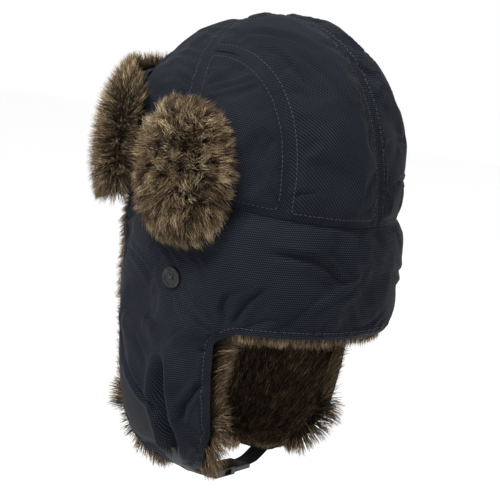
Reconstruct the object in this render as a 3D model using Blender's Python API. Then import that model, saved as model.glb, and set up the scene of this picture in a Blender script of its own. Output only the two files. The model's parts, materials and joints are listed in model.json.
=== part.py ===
"""Trapper hat with a turned-up fur visor, fur side tabs, ear flaps and a buckled chin strap.

Metres, +Z up. The front of the hat faces -Y and the wearer's left is +X.
The origin is the centre of the head opening, level with the seam that joins the crown to the band.
Angles named theta run round the hat from the front, through the wearer's left, to the back.
"""

from math import cos, pi, radians, sin, tan

import bmesh
import bpy
import numpy as np
from mathutils import Matrix, Vector

for old in list(bpy.data.objects):
    bpy.data.objects.remove(old, do_unlink=True)

# Head form: a superellipse in plan and a superellipse in height
HALF_WIDTH = 0.0943
HALF_LENGTH = 0.1045
PLAN_POWER = 2.1
CROWN_HEIGHT = 0.1290
CROWN_POWER = 2.3
BAND_TILT = radians(7.7)  # the band seam falls towards the back
FRONT_FALL = 0.024  # the crown is lower in front than behind

# Crown panels
BACK_AT_BAND = 0.0720  # half width of the two back panels together
BACK_AT_TOP = 0.0620
CROSS_TURN = radians(80)  # where the seam crosses the top, from the brow over to the nape
SEAM_GAP = 0.0003
LAYER_GAP = 0.0012  # between curved layers, whose facets differ
PANEL = 0.0045
PADDING = 0.0040
LINING = 0.0020

# Band, neck and ear flaps
FRONT_EDGE = radians(43)
FLAP_REAR = radians(110)
FLAP_REAR_LOW = radians(107)
FOLD_Z = -0.0900  # the ear flap folds here
FOLD_GAP = 0.0010
NECK_Z = -0.0945
BROW_Z = -0.0105
SHELL = 0.0050
PILE = 0.0140
SKIRT_START = -0.032
SKIRT_DEPTH = 0.1850
SKIRT_POWER = 3.2
FLAP_TIP_Z = -0.2120
FLAP_FRONT_LIFT = 0.036
FLAP_REAR_LIFT = 0.040

# Visor
VISOR_HALF = radians(58)
VISOR_TOP = 0.078
VISOR_SHELL = (0.0036, 0.0060)
VISOR_BULGE = 0.0240

# Side tabs
TAB_THETA = radians(90)
TAB_Z = 0.0152
TAB_HALF_WIDTH = 0.0420
TAB_HALF_HEIGHT = 0.0460
TAB_SHELL = (0.0012, 0.0042)
TAB_BULGE = 0.0240
TAB_AXIS_Z = TAB_Z - TAB_HALF_HEIGHT - 0.0005

# Button
BUTTON_THETA = radians(87)
BUTTON_Z = -0.0611
BUTTON_R = 0.0080
BUTTON_THICK = 0.0026

# Chin strap and buckle
STRAP_Y = -0.0150
STRAP_Z = -0.2195
STRAP_HALF_WIDTH = 0.0075
STRAP_THICK = 0.0016
BUCKLE_HALF_WIDTH = 0.0110
BUCKLE_HALF_THICK = 0.0034


# --- surfaces -----------------------------------------------------------------------------------


def ring_radius(theta):
    """The distance from the axis to the outside of the band seam, in plan."""
    side = abs(sin(theta)) / HALF_WIDTH
    front = abs(cos(theta)) / HALF_LENGTH
    return (side**PLAN_POWER + front**PLAN_POWER) ** (-1 / PLAN_POWER)


def seam_z(theta):
    return cos(theta) * ring_radius(theta) * tan(BAND_TILT)


def crown_base(theta, rise):
    """A point on the crown's outside; rise runs from 0 at the band seam to pi/2 at the top."""
    out = ring_radius(theta) * max(cos(rise), 0.0) ** (2 / CROWN_POWER)
    up = sin(rise) ** (2 / CROWN_POWER)
    fall = FRONT_FALL * (max(out * cos(theta), 0.0) / HALF_LENGTH) ** 1.2 * up**4
    z = seam_z(theta) * (1 - up) + CROWN_HEIGHT * up - fall
    return Vector((out * sin(theta), -out * cos(theta), z))


def skirt_base(theta, z):
    """A point on the outside of the band or of an ear flap, which closes in under the chin."""
    depth = min(max((SKIRT_START - z) / SKIRT_DEPTH, 0.0), 0.9985)
    narrow = (1 - depth**SKIRT_POWER) ** (1 / SKIRT_POWER)
    x = ring_radius(theta) * sin(theta) * narrow
    y = -ring_radius(theta) * cos(theta) * (1 - 0.06 * depth)
    return Vector((x, y, z))


def inset_point(base, theta, along, inset):
    """The base surface's point moved inwards along its normal; a negative inset moves it out."""
    step = 1e-3
    low = max(along - step, 0.0) if base is crown_base else along - step
    d_theta = base(theta + step, along) - base(theta - step, along)
    d_along = base(theta, along + step) - base(theta, low)
    normal = d_theta.cross(d_along).normalized()
    return base(theta, along) - normal * inset


def crown(theta, rise, inset=0.0):
    top = pi / 2 - 0.002
    return inset_point(crown_base, theta, min(max(rise, 0.0), top), inset)


def skirt(theta, z, inset=0.0):
    return inset_point(skirt_base, theta, z, inset)


def rise_at(theta, z):
    """The crown rise that reaches height z at this theta."""
    up = (z - seam_z(theta)) / (CROWN_HEIGHT - seam_z(theta))
    return np.arcsin(min(max(up, 0.0), 1.0) ** (CROWN_POWER / 2))


def outside(theta, z, inset=0.0):
    """The hat's outside at height z, on the crown or below the seam."""
    if z > seam_z(theta) + 0.002:
        return crown(theta, rise_at(theta, z), inset)
    return skirt(theta, z, inset)


def back_half_width(up):
    return BACK_AT_BAND + (BACK_AT_TOP - BACK_AT_BAND) * up


def side_front(rise):
    """The angle of the cross seam, where each side panel begins, at this rise."""
    forward = cos(CROSS_TURN)
    out = cos(rise) ** (2 / CROWN_POWER)
    across = (max(out**PLAN_POWER - forward**PLAN_POWER, 0) / (1 - forward**PLAN_POWER)) ** (1 / PLAN_POWER)
    ahead = forward * (1 - across**PLAN_POWER) ** (1 / PLAN_POWER)
    return np.arctan2(across * HALF_WIDTH, ahead * HALF_LENGTH)


def side_edge(rise, gap):
    """The angle at which a side panel meets the back panel at this rise."""
    edge = back_half_width(sin(rise) ** (2 / CROWN_POWER)) + gap
    low, high = side_front(rise), pi
    for _ in range(40):
        middle = (low + high) / 2
        if crown_base(middle, rise).x > edge:
            low = middle
        else:
            high = middle
    return low


# --- mesh helpers -------------------------------------------------------------------------------


def material(name, colour, roughness, metallic=0.0):
    made = bpy.data.materials.new(name)
    made.use_nodes = True
    shader = made.node_tree.nodes["Principled BSDF"]
    shader.inputs["Base Color"].default_value = (*colour, 1)
    shader.inputs["Roughness"].default_value = roughness
    shader.inputs["Metallic"].default_value = metallic
    return made


def add_object(name, bm, look, pivot=(0, 0, 0)):
    """Makes the object, with its origin at its joint's axis."""
    bmesh.ops.recalc_face_normals(bm, faces=bm.faces)
    bmesh.ops.translate(bm, verts=bm.verts, vec=-Vector(pivot))
    mesh = bpy.data.meshes.new(name)
    bm.to_mesh(mesh)
    bm.free()
    mesh.shade_smooth()
    mesh.set_sharp_from_angle(angle=radians(40))
    mesh.materials.append(LOOKS[look])
    obj = bpy.data.objects.new(name, mesh)
    obj.location = pivot
    bpy.context.scene.collection.objects.link(obj)
    return obj


def mirror_object(obj, name):
    """The same piece on the wearer's right."""
    bm = bmesh.new()
    bm.from_mesh(obj.data)
    bmesh.ops.translate(bm, verts=bm.verts, vec=obj.location)
    bmesh.ops.scale(bm, verts=bm.verts, vec=(-1, 1, 1))
    bmesh.ops.reverse_faces(bm, faces=bm.faces)
    pivot = Vector((-obj.location.x, obj.location.y, obj.location.z))
    return add_object(name, bm, obj.data.materials[0].name, pivot)


def layered(outer, inner, closed=False):
    """A closed solid between two grids of points; closed joins the last row to the first."""
    bm = bmesh.new()
    rows, columns = len(outer), len(outer[0])
    outs = [[bm.verts.new(p) for p in row] for row in outer]
    ins = [[bm.verts.new(p) for p in row] for row in inner]
    for i in range(rows if closed else rows - 1):
        j = (i + 1) % rows
        for k in range(columns - 1):
            bm.faces.new((outs[i][k], outs[j][k], outs[j][k + 1], outs[i][k + 1]))
            bm.faces.new((ins[i][k], ins[i][k + 1], ins[j][k + 1], ins[j][k]))
        for k in (0, columns - 1):
            bm.faces.new((outs[i][k], ins[i][k], ins[j][k], outs[j][k]))
    for i in () if closed else (0, rows - 1):
        for k in range(columns - 1):
            bm.faces.new((outs[i][k], outs[i][k + 1], ins[i][k + 1], ins[i][k]))
    return bm


def grid(point, us, vs, inset):
    """Rows of points over u and v; the inset may be a number or a function of u and v."""
    depth = inset if callable(inset) else lambda u, v: inset
    return [[point(u, v, depth(u, v)) for v in vs] for u in us]


def box_mesh(low, high):
    low, high = Vector(low), Vector(high)
    bm = bmesh.new()
    bmesh.ops.create_cube(bm, size=1)
    bmesh.ops.scale(bm, verts=bm.verts, vec=high - low)
    bmesh.ops.translate(bm, verts=bm.verts, vec=(low + high) / 2)
    return bm


def extruded(outline, low, high):
    """A flat outline in X and Y, from height low to height high."""
    bm = bmesh.new()
    bottom = [bm.verts.new((x, y, low)) for x, y in outline]
    top = [bm.verts.new((x, y, high)) for x, y in outline]
    count = len(outline)
    bm.faces.new(bottom[::-1])
    bm.faces.new(top)
    for i in range(count):
        j = (i + 1) % count
        bm.faces.new((bottom[i], bottom[j], top[j], top[i]))
    return bm


def cut(obj, cutter_bm, name):
    """Cuts one closed mesh from another."""
    cutter = add_object(name, cutter_bm, "buckle", obj.location)
    cutter.hide_render = True
    cutter.display_type = "WIRE"
    boolean = obj.modifiers.new(name, "BOOLEAN")
    boolean.operation = "DIFFERENCE"
    boolean.solver = "EXACT"
    boolean.object = cutter


# --- crown --------------------------------------------------------------------------------------


def on_crown(x, y, inset):
    """The crown's point above x and y, given as shares of the half width and half length."""
    out = min((abs(x) ** PLAN_POWER + abs(y) ** PLAN_POWER) ** (1 / PLAN_POWER), 1.0)
    theta = np.arctan2(x * HALF_WIDTH, -y * HALF_LENGTH)
    return crown(theta, np.arccos(out ** (CROWN_POWER / 2)), inset)


def front_point(across, turn, inset):
    """A point of the front panel: across from -1 to 1, turn from 0 at the brow."""
    return on_crown(across, -cos(turn) * (1 - abs(across) ** PLAN_POWER) ** (1 / PLAN_POWER), inset)


def back_point(across, turn, inset):
    """A point of a back panel: across from 0 to 1, turn up to pi at the band."""
    half = BACK_AT_BAND
    for _ in range(12):
        x = half / HALF_WIDTH
        y = abs(cos(turn)) * (1 - x**PLAN_POWER) ** (1 / PLAN_POWER)
        out = min((x**PLAN_POWER + y**PLAN_POWER) ** (1 / PLAN_POWER), 1.0)
        half = back_half_width((1 - out**CROWN_POWER) ** (1 / CROWN_POWER))
    x = across * half / HALF_WIDTH
    return on_crown(x, -cos(turn) * (1 - abs(x) ** PLAN_POWER) ** (1 / PLAN_POWER), inset)


def make_crown():
    gap = SEAM_GAP / HALF_WIDTH
    leans = np.linspace(-pi / 2, pi / 2, 23)
    across = np.sign(leans) * np.abs(np.sin(leans)) ** (2 / CROWN_POWER)
    turns = np.linspace(0.0, CROSS_TURN - gap, 13)
    solid = layered(grid(front_point, across, turns, 0.0), grid(front_point, across, turns, PANEL))
    bmesh.ops.remove_doubles(solid, verts=solid.verts, dist=1e-6)
    add_object("crown_front_panel", solid, "shell_fabric")

    across = np.linspace(gap, 1 - gap, 9)
    turns = np.linspace(CROSS_TURN + gap, pi, 14)
    solid = layered(grid(back_point, across, turns, 0.0), grid(back_point, across, turns, PANEL))
    left = add_object("crown_back_panel_left", solid, "shell_fabric")
    mirror_object(left, "crown_back_panel_right")

    # The rows crowd towards the tip, where the panel narrows fastest
    low, high = 0.0, pi / 2
    for _ in range(40):
        tip = (low + high) / 2
        narrow = back_half_width(sin(tip) ** (2 / CROWN_POWER)) + SEAM_GAP
        low, high = (tip, high) if crown_base(side_front(tip), tip).x > narrow else (low, tip)
    rises = tip * (1 - (1 - np.linspace(0, 1, 13)) ** 2)

    def side_point(share, rise, inset):
        front = side_front(rise) + gap
        rear = max(side_edge(rise, SEAM_GAP), front)
        return crown(front + (rear - front) * share, rise, inset)

    shares = np.linspace(0, 1, 9)
    solid = layered(grid(side_point, shares, rises, 0.0), grid(side_point, shares, rises, PANEL))
    bmesh.ops.remove_doubles(solid, verts=solid.verts, dist=1e-5)
    left = add_object("crown_side_panel_left", solid, "shell_fabric")
    mirror_object(left, "crown_side_panel_right")

    add_dome("crown_padding", "wadding", PANEL + LAYER_GAP, PADDING)
    add_dome("crown_lining", "lining", PANEL + PADDING + 2 * LAYER_GAP, LINING)


def add_dome(name, look, inset, thickness):
    """A closed dome shell under the crown panels, sewn shut at its top."""
    around = np.linspace(0, 2 * pi, 33)[:-1]
    rises = np.linspace(0.0, pi / 2 - 0.06, 11)
    outer = grid(crown, around, rises, inset)
    inner = grid(crown, around, rises, inset + thickness)
    bm = bmesh.new()
    for rows in (outer, inner):
        verts = [[bm.verts.new(p) for p in row] for row in rows]
        count = len(verts)
        for i in range(count):
            j = (i + 1) % count
            for k in range(len(rises) - 1):
                bm.faces.new((verts[i][k], verts[j][k], verts[j][k + 1], verts[i][k + 1]))
        bm.faces.new([row[-1] for row in verts])
    bm.verts.ensure_lookup_table()
    per_grid = len(around) * len(rises)
    for i in range(len(around)):
        j = (i + 1) % len(around)
        a, b = i * len(rises), j * len(rises)
        corners = (a, b, per_grid + b, per_grid + a)
        bm.faces.new([bm.verts[c] for c in corners])
    add_object(name, bm, look)


def make_sweatband():
    inset = PANEL + PADDING + LINING + 3 * LAYER_GAP
    around = np.linspace(0, 2 * pi, 41)[:-1]
    rises = np.linspace(0.03, 0.30, 3)
    solid = layered(
        grid(crown, around, rises, inset), grid(crown, around, rises, inset + 0.0018), closed=True
    )
    add_object("sweatband", solid, "lining")


# --- band, neck and brow ------------------------------------------------------------------------


def band_bottom(theta):
    """The band's lower edge: the flap's fold at the sides and the neck edge behind."""
    share = min(max((abs(theta) - FLAP_REAR) / radians(4) - 1, 0.0), 1.0)
    return FOLD_Z + (NECK_Z - FOLD_Z) * share


def band_point(theta, share, inset):
    side = theta if theta <= pi else theta - 2 * pi
    top = seam_z(theta) - SEAM_GAP
    return skirt(theta, top + (band_bottom(side) - top) * share, inset)


def make_band():
    around = np.linspace(FRONT_EDGE, 2 * pi - FRONT_EDGE, 49)
    shares = np.linspace(0, 1, 6)
    solid = layered(grid(band_point, around, shares, 0.0), grid(band_point, around, shares, SHELL))
    add_object("band_shell", solid, "shell_fabric")

    fur_outer = SHELL + 0.0022
    shares = np.linspace(0.04, 1, 5)
    around = np.linspace(FRONT_EDGE + 0.01, 2 * pi - FRONT_EDGE - 0.01, 41)
    solid = layered(
        grid(band_point, around, shares, fur_outer),
        grid(band_point, around, shares, lambda u, v: fur_outer + PILE * min(1.0, 0.35 + 2.6 * v)),
    )
    add_object("band_fur_lining", solid, "fur")

    around = np.linspace(FLAP_REAR + 0.06, 2 * pi - FLAP_REAR - 0.06, 15)
    shares = (0.80, 0.97)
    solid = layered(
        grid(band_point, around, shares, SHELL + 0.0005),
        grid(band_point, around, shares, SHELL + 0.0016),
    )
    add_object("neck_elastic", solid, "elastic")


def brow_point(theta, share, inset):
    top = seam_z(theta) - SEAM_GAP
    return skirt(theta, top + (BROW_Z - top) * share, inset)


def make_brow():
    limit = FRONT_EDGE - 2 * SEAM_GAP / HALF_WIDTH
    around = np.linspace(-limit, limit, 21)
    shares = np.linspace(0, 1, 3)
    solid = layered(grid(brow_point, around, shares, 0.0), grid(brow_point, around, shares, PANEL))
    add_object("brow_edge", solid, "shell_fabric")


# --- ear flaps ----------------------------------------------------------------------------------


def flap_point(across, share, inset):
    """A point on the left ear flap: across from the face to the nape, share from fold to tip."""
    centre = 0.55
    if across < centre:
        lift = FLAP_FRONT_LIFT * ((centre - across) / centre) ** 3
    else:
        lift = FLAP_REAR_LIFT * ((across - centre) / (1 - centre)) ** 3
    bottom = FLAP_TIP_Z + lift
    top = FOLD_Z - FOLD_GAP
    z = top + (bottom - top) * share
    low = min((FOLD_Z - z) / 0.09, 1.0)
    rear = FLAP_REAR + (FLAP_REAR_LOW - FLAP_REAR) * low
    theta = FRONT_EDGE + (rear - FRONT_EDGE) * across
    return skirt(theta, z, inset)


def make_ear_flap():
    across = np.linspace(0, 1, 15)
    shares = [1 - (1 - s) ** 1.35 for s in np.linspace(0, 1, 11)]
    solid = layered(
        grid(flap_point, across, shares, 0.0), grid(flap_point, across, shares, SHELL)
    )
    left = add_object("ear_flap_shell_left", solid, "shell_fabric", FLAP_AXIS)
    mirror_object(left, "ear_flap_shell_right")

    near = SHELL + LAYER_GAP

    def fur_depth(u, v):
        rim = min(1.0, 4 * min(u, 1 - u) + 0.55) * min(1.0, 4 * (1 - v) + 0.6)
        return near + PILE * rim

    across = np.linspace(0.012, 0.988, 12)
    shares = [1 - (1 - s) ** 1.3 for s in np.linspace(0.012, 0.99, 9)]
    solid = layered(
        grid(flap_point, across, shares, near),
        grid(flap_point, across, shares, fur_depth),
    )
    left = add_object("ear_flap_fur_left", solid, "fur", FLAP_AXIS)
    mirror_object(left, "ear_flap_fur_right")


# --- visor and tabs -----------------------------------------------------------------------------


def visor_top(theta):
    """The visor's upper edge, which rounds down towards its ends."""
    end = abs(theta) / VISOR_HALF
    return VISOR_TOP - 0.030 * end**5


def visor_point(theta, share, inset):
    z = BROW_Z + (visor_top(theta) - BROW_Z) * share
    return outside(theta, z, inset)


def make_visor():
    around = np.linspace(-VISOR_HALF, VISOR_HALF, 21)
    shares = np.linspace(0, 1, 8)
    back, front = VISOR_SHELL
    solid = layered(
        grid(visor_point, around, shares, -front), grid(visor_point, around, shares, -back)
    )
    add_object("visor_shell", solid, "shell_fabric", VISOR_AXIS)

    def bulge(theta, share):
        end = max(0.0, 1 - (abs(theta) / VISOR_HALF) ** 6) ** 0.5
        rise = max(0.0, 1 - abs(2 * share - 0.9) ** 3.2 / 1.37) ** 0.55
        return -(front + SEAM_GAP + 0.002 + VISOR_BULGE * end * rise)

    solid = layered(
        grid(visor_point, around, shares, bulge),
        grid(visor_point, around, shares, -(front + SEAM_GAP)),
    )
    add_object("visor_fur", solid, "fur", VISOR_AXIS)

    # The hook-and-loop patches that hold the visor up
    half = 0.018 / HALF_LENGTH
    around = np.linspace(-half, half, 5)
    rows = (0.52, 0.62, 0.72)
    patches = {
        "visor_loop_patch": (0.0004, 0.0013, (0, 0, 0)),
        "visor_hook_patch": (0.0018, 0.0027, VISOR_AXIS),
    }
    for name, (near, far, pivot) in patches.items():
        solid = layered(grid(visor_point, around, rows, -far), grid(visor_point, around, rows, -near))
        add_object(name, solid, "hook_and_loop", pivot)


def tab_point(angle, reach, inset, size):
    """A point of the left side tab in polar form; reach is 1 at its rim."""
    half_width, half_height = size
    square = (abs(cos(angle)) ** 2.6 + abs(sin(angle)) ** 2.6) ** (-1 / 2.6)
    side = half_width * reach * square * cos(angle)
    z = TAB_Z + half_height * reach * square * sin(angle)
    theta = TAB_THETA - side / ring_radius(TAB_THETA)
    return outside(theta, z, inset)


def disc(size, near, far, segments, reaches):
    """A pad on the hat's side, from depth near to depth far, each a function of its reach."""
    bm = bmesh.new()
    angles = np.linspace(0, 2 * pi, segments + 1)[:-1]
    sides = []
    for depth in (far, near):
        rings = []
        for reach in reaches:
            ring = [bm.verts.new(tab_point(a, reach, -depth(reach), size)) for a in angles]
            rings.append(ring)
        centre = bm.verts.new(tab_point(0, 0, -depth(0), size))
        for i in range(segments):
            j = (i + 1) % segments
            bm.faces.new((centre, rings[0][i], rings[0][j]))
            for inner, outer in zip(rings, rings[1:]):
                bm.faces.new((inner[i], outer[i], outer[j], inner[j]))
        sides.append(rings[-1])
    for i in range(segments):
        j = (i + 1) % segments
        bm.faces.new((sides[0][i], sides[0][j], sides[1][j], sides[1][i]))
    return bm


def make_side_tab():
    back, front = TAB_SHELL
    size = (TAB_HALF_WIDTH - 0.010, TAB_HALF_HEIGHT - 0.006)
    solid = disc(size, lambda r: back, lambda r: front, 20, (0.5, 1.0))
    left = add_object("side_tab_shell_left", solid, "shell_fabric", TAB_AXIS)
    mirror_object(left, "side_tab_shell_right")

    size = (TAB_HALF_WIDTH, TAB_HALF_HEIGHT)
    near = front + SEAM_GAP
    solid = disc(
        size,
        lambda r: near,
        lambda r: near + 0.002 + TAB_BULGE * max(0.0, 1 - r**2.6) ** 0.5,
        24,
        (0.3, 0.55, 0.75, 0.9, 1.0),
    )
    left = add_object("side_tab_fur_left", solid, "fur", TAB_AXIS)
    mirror_object(left, "side_tab_fur_right")


# --- button, strap and buckle -------------------------------------------------------------------


def make_button():
    """A four-hole sewn button, built flat and then turned to lie on the band."""
    profile = [
        (0.0, 0.0),
        (BUTTON_R * 0.90, 0.0),
        (BUTTON_R, BUTTON_THICK * 0.35),
        (BUTTON_R, BUTTON_THICK * 0.75),
        (BUTTON_R * 0.94, BUTTON_THICK),
        (BUTTON_R * 0.78, BUTTON_THICK),
        (BUTTON_R * 0.68, BUTTON_THICK * 0.62),
        (0.0, BUTTON_THICK * 0.62),
    ]
    place = button_place(SEAM_GAP)
    bm = bmesh.new()
    chain = [bm.verts.new((r, 0, h)) for r, h in profile]
    edges = [bm.edges.new(pair) for pair in zip(chain, chain[1:])]
    bmesh.ops.spin(
        bm, geom=chain + edges, cent=(0, 0, 0), axis=(0, 0, 1), angle=2 * pi, steps=20
    )
    bmesh.ops.remove_doubles(bm, verts=bm.verts, dist=1e-6)
    bmesh.ops.transform(bm, matrix=place, verts=bm.verts)
    left = add_object("flap_button_left", bm, "button")

    holes = bmesh.new()
    for turn in range(4):
        angle = pi / 4 + turn * pi / 2
        spot = Matrix.Translation((0.0019 * cos(angle), 0.0019 * sin(angle), 0.001))
        bmesh.ops.create_cone(
            holes, cap_ends=True, segments=10, radius1=0.0008, radius2=0.0008, depth=0.006,
            matrix=place @ spot,
        )
    cut(left, holes, "button_hole_cutter")
    apply_modifiers(left)
    mirror_object(left, "flap_button_right")

    arm, half = 0.0024, 0.0004
    cross = [
        (arm, -half), (arm, half), (half, half), (half, arm), (-half, arm), (-half, half),
        (-arm, half), (-arm, -half), (-half, -half), (-half, -arm), (half, -arm), (half, -half),
    ]
    face = BUTTON_THICK * 0.62 + 0.0003
    bm = extruded(cross, face, face + 0.0005)
    bmesh.ops.transform(bm, matrix=place @ Matrix.Rotation(pi / 4, 4, "Z"), verts=bm.verts)
    left = add_object("button_thread_left", bm, "thread")
    mirror_object(left, "button_thread_right")


def button_place(lift):
    spot = skirt(BUTTON_THETA, BUTTON_Z, -lift)
    out = (skirt(BUTTON_THETA, BUTTON_Z, -0.01) - spot).normalized()
    # The band curves away under the button's rim, so the button stands off by that much
    return Matrix.Translation(spot + out * 0.0003) @ out.to_track_quat("Z", "Y").to_matrix().to_4x4()


def apply_modifiers(obj):
    graph = bpy.context.evaluated_depsgraph_get()
    made = bpy.data.meshes.new_from_object(obj.evaluated_get(graph))
    made.name = obj.name
    obj.modifiers.clear()
    obj.data = made


def strap_route():
    """The left webbing's middle line: down the flap's outside and in to the buckle."""
    theta = radians(82)
    offset = -(STRAP_THICK / 2 + 0.0004)
    on_flap = [skirt(theta, z, offset) for z in (-0.1910, -0.1980, -0.2040, -0.2090, -0.2115)]
    for point in on_flap:
        point.y = STRAP_Y
    last = Vector((0.0225, STRAP_Y, STRAP_Z))
    middle = (on_flap[-1] + last) / 2 + Vector((0, 0, -0.0018))
    return on_flap + [middle, last]


def ribbon(route, half_width, thickness):
    """A flat strap whose width runs along Y."""
    outer, inner = [], []
    for i, point in enumerate(route):
        before, after = route[max(i - 1, 0)], route[min(i + 1, len(route) - 1)]
        along = (after - before).normalized()
        normal = along.cross(Vector((0, 1, 0))).normalized() * thickness / 2
        side = Vector((0, half_width, 0))
        outer.append([point + normal - side, point + normal + side])
        inner.append([point - normal - side, point - normal + side])
    return layered(outer, inner)


def make_strap_and_buckle():
    bm = ribbon(strap_route(), STRAP_HALF_WIDTH, STRAP_THICK)
    left = add_object("chin_strap_left", bm, "webbing", FLAP_AXIS)
    mirror_object(left, "chin_strap_right")

    wide, thick = BUCKLE_HALF_WIDTH, BUCKLE_HALF_THICK
    mouth, end = -0.0020, 0.0222
    socket = add_object(
        "buckle_socket",
        box_mesh((mouth, STRAP_Y - wide, STRAP_Z - thick), (end, STRAP_Y + wide, STRAP_Z + thick)),
        "buckle",
        FLAP_AXIS,
    )
    bevel = socket.modifiers.new("edge", "BEVEL")
    bevel.width = 0.0012
    bevel.segments = 2
    cavity = box_mesh(
        (mouth - 0.002, STRAP_Y - wide + 0.0022, STRAP_Z - 0.0021),
        (0.0125, STRAP_Y + wide - 0.0022, STRAP_Z + 0.0021),
    )
    cut(socket, cavity, "buckle_cavity_cutter")
    window = box_mesh(
        (0.0035, STRAP_Y - wide - 0.004, STRAP_Z - 0.0021),
        (0.0115, STRAP_Y + wide + 0.004, STRAP_Z + 0.0021),
    )
    cut(socket, window, "buckle_window_cutter")

    tongue, arm = 0.0030, 0.0082
    shoulder = mouth - 0.0003
    reach = 0.0105
    outline = [
        (-0.0222, -0.0095),
        (shoulder, -0.0105),
        (shoulder, -arm),
        (reach - 0.003, -arm),
        (reach, -arm + 0.0022),
        (reach - 0.001, -arm + 0.0030),
        (shoulder, -tongue - 0.0018),
        (shoulder, -tongue),
        (reach, -tongue + 0.0008),
        (reach, tongue - 0.0008),
        (shoulder, tongue),
        (shoulder, tongue + 0.0018),
        (reach - 0.001, arm - 0.0030),
        (reach, arm - 0.0022),
        (reach - 0.003, arm),
        (shoulder, arm),
        (shoulder, 0.0105),
        (-0.0222, 0.0095),
    ]
    outline = [(x, y + STRAP_Y) for x, y in outline]
    bm = extruded(outline, STRAP_Z - 0.0017, STRAP_Z + 0.0017)
    add_object("buckle_plug", bm, "buckle", (shoulder, STRAP_Y, STRAP_Z))


# --- the whole hat ------------------------------------------------------------------------------

LOOKS = {
    name: material(name, *values)
    for name, values in {
        "shell_fabric": ((0.012, 0.018, 0.040), 0.62),
        "fur": ((0.20, 0.145, 0.095), 0.85),
        "lining": ((0.010, 0.012, 0.020), 0.55),
        "wadding": ((0.70, 0.70, 0.68), 0.90),
        "elastic": ((0.02, 0.02, 0.02), 0.80),
        "hook_and_loop": ((0.006, 0.007, 0.010), 0.85),
        "webbing": ((0.006, 0.006, 0.008), 0.60),
        "buckle": ((0.004, 0.004, 0.005), 0.25),
        "button": ((0.006, 0.006, 0.007), 0.18),
        "thread": ((0.010, 0.010, 0.014), 0.70),
    }.items()
}

FLAP_AXIS = Vector((HALF_WIDTH + 0.0008, -0.015, FOLD_Z))
VISOR_AXIS = Vector((0, -HALF_LENGTH - 0.0040, BROW_Z))
TAB_AXIS = outside(TAB_THETA, TAB_AXIS_Z, -TAB_SHELL[0])

make_crown()
make_sweatband()
make_band()
make_brow()
make_ear_flap()
make_visor()
make_side_tab()
make_button()
make_strap_and_buckle()
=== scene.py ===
"""The looks of the trapper hat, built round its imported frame.

Metres, +Z up. The front of the hat faces -Y and the wearer's left is +X.
Angles named theta run round the hat from the front, through the wearer's left, to the back.
"""

import json
from math import cos, pi, radians, sin, tan

import bpy
import numpy as np
from mathutils import Matrix, Vector
from mathutils.bvhtree import BVHTree


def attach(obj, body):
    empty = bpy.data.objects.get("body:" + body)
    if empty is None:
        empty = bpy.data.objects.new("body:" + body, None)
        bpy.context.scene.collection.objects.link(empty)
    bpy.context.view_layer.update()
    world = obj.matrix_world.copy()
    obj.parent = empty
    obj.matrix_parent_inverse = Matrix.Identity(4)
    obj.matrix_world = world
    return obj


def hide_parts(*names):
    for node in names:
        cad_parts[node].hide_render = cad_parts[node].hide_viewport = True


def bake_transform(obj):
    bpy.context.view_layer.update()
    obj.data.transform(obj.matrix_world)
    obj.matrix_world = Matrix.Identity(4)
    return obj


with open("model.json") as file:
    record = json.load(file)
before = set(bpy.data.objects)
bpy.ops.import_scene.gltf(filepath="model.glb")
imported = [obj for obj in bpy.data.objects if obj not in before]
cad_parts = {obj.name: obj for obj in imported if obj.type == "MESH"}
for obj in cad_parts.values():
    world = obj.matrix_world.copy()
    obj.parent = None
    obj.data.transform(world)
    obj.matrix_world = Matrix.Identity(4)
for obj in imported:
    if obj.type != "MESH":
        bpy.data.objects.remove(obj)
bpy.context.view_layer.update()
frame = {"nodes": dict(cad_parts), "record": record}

MM = 0.001

# --- camera -------------------------------------------------------------------------------------

VIEW_AZIMUTH = 126.0  # degrees, as are the next two
VIEW_ELEVATION = 8.71
VIEW_ROLL = 5.185  # the hat leans clockwise in the picture
VIEW_DISTANCE = 1.391
VIEW_TARGET = (0.00958, -0.00095, -0.04697)
LENS = 134.3
SENSOR = 36.0


def looking_in(azimuth, elevation, distance, target=(0, 0, 0)):
    """The place of a camera or lamp that looks at the target; its angles are in degrees."""
    a, e = radians(azimuth), radians(elevation)
    back = Vector((sin(a) * cos(e), -cos(a) * cos(e), sin(e)))
    turn = back.to_track_quat("Z", "Y").to_matrix().to_4x4()
    return Matrix.Translation(Vector(target) + back * distance) @ turn


def make_camera():
    data = bpy.data.cameras.new("camera")
    data.lens = LENS
    data.sensor_width = SENSOR
    data.clip_start, data.clip_end = 0.05, 50.0
    camera = bpy.data.objects.new("camera", data)
    place = looking_in(VIEW_AZIMUTH, VIEW_ELEVATION, VIEW_DISTANCE, VIEW_TARGET)
    camera.matrix_world = place @ Matrix.Rotation(radians(VIEW_ROLL), 4, "Z")
    bpy.context.scene.collection.objects.link(camera)
    bpy.context.scene.camera = camera


make_camera()

# --- the hat's form, the same as the frame's --------------------------------------------------------

HALF_WIDTH = 0.0943
HALF_LENGTH = 0.1045
PLAN_POWER = 2.1
CROWN_HEIGHT = 0.1290
CROWN_POWER = 2.3
BAND_TILT = radians(7.7)
FRONT_FALL = 0.024
BACK_AT_BAND = 0.0720
BACK_AT_TOP = 0.0620
CROSS_TURN = radians(80)
FRONT_EDGE = radians(43)
FLAP_REAR = radians(110)
FLAP_REAR_LOW = radians(107)
CORNER_FLARE = radians(10)  # the rounded corner between the flap and the neck edge
CORNER_DEPTH = 0.013
FOLD_Z = -0.0900
NECK_Z = -0.0945
BROW_Z = -0.0105
SKIRT_START = -0.032
SKIRT_DEPTH = 0.1850
SKIRT_POWER = 3.2
FLAP_TIP_Z = -0.2120
FLAP_FRONT_LIFT = 0.036
FLAP_REAR_LIFT = 0.040
FLAP_CENTRE = 0.55
VISOR_HALF = radians(58)
VISOR_TOP = 0.078
TAB_THETA = radians(90)
TAB_Z = 0.0152
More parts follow.
